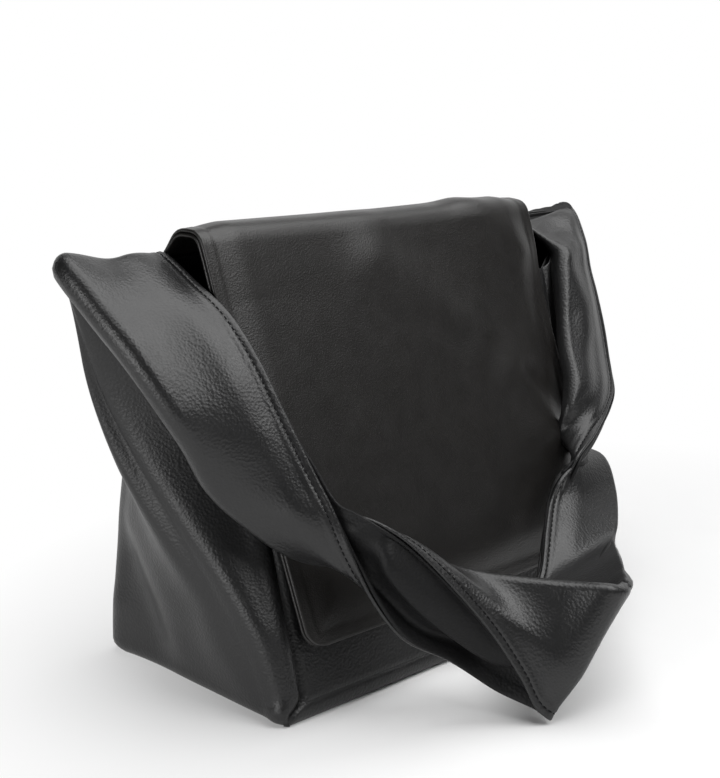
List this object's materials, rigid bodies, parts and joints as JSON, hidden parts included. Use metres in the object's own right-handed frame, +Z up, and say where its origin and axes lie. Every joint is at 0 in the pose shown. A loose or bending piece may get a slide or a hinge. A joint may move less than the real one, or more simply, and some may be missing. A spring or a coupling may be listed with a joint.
{
  "type": "shoulder bag",
  "caption": "Wedge-shaped soft leather shoulder bag with a long front flap and a wide folded strap that grows out of the gussets and lies half twisted in front.",
  "frame": {"origin": "centre of the base panel's underside, on the surface that the bag stands on", "axes": "+X to the right seen from the front, +Y to the back, +Z up; the flap and the strap are at the front, -Y"},
  "size_m": [0.3764, 0.2374, 0.2343],
  "materials": {
    "leather": "satin black pebbled faux leather",
    "lining": "matte black woven lining",
    "board": "matte stiffening board",
    "snap_metal": "dark satin metal"
  },
  "bodies": {
    "bag": {"front_panel": "leather", "back_panel": "leather", "base_panel": "leather", "base_board": "board", "lining_front": "lining", "lining_back": "lining", "lining_base": "lining", "lining_left": "lining", "lining_right": "lining", "front_facing": "leather", "back_facing": "leather", "left_gusset": "leather", "right_gusset": "leather", "snap_socket": "snap_metal", "snap_socket_washer": "snap_metal"},
    "flap": {"flap_outer": "leather", "flap_lining": "leather", "snap_stud": "snap_metal", "snap_stud_washer": "snap_metal"},
    "strap": {"strap_left_outer": "leather", "strap_left_lining": "leather", "strap_right_outer": "leather", "strap_right_lining": "leather"}
  },
  "joints": [
    {"name": "flap_hinge", "type": "hinge", "parent": "bag", "child": "flap", "pos_m": [0, 0.022, 0.221], "axis": [-1, 0, 0], "range_deg": [0, 125]},
    {"name": "strap_swing", "type": "hinge", "parent": "flap", "child": "strap", "pos_m": [0, 0.022, 0.221], "axis": [-1, 0, 0], "range_deg": [0, 116]}
  ]
}
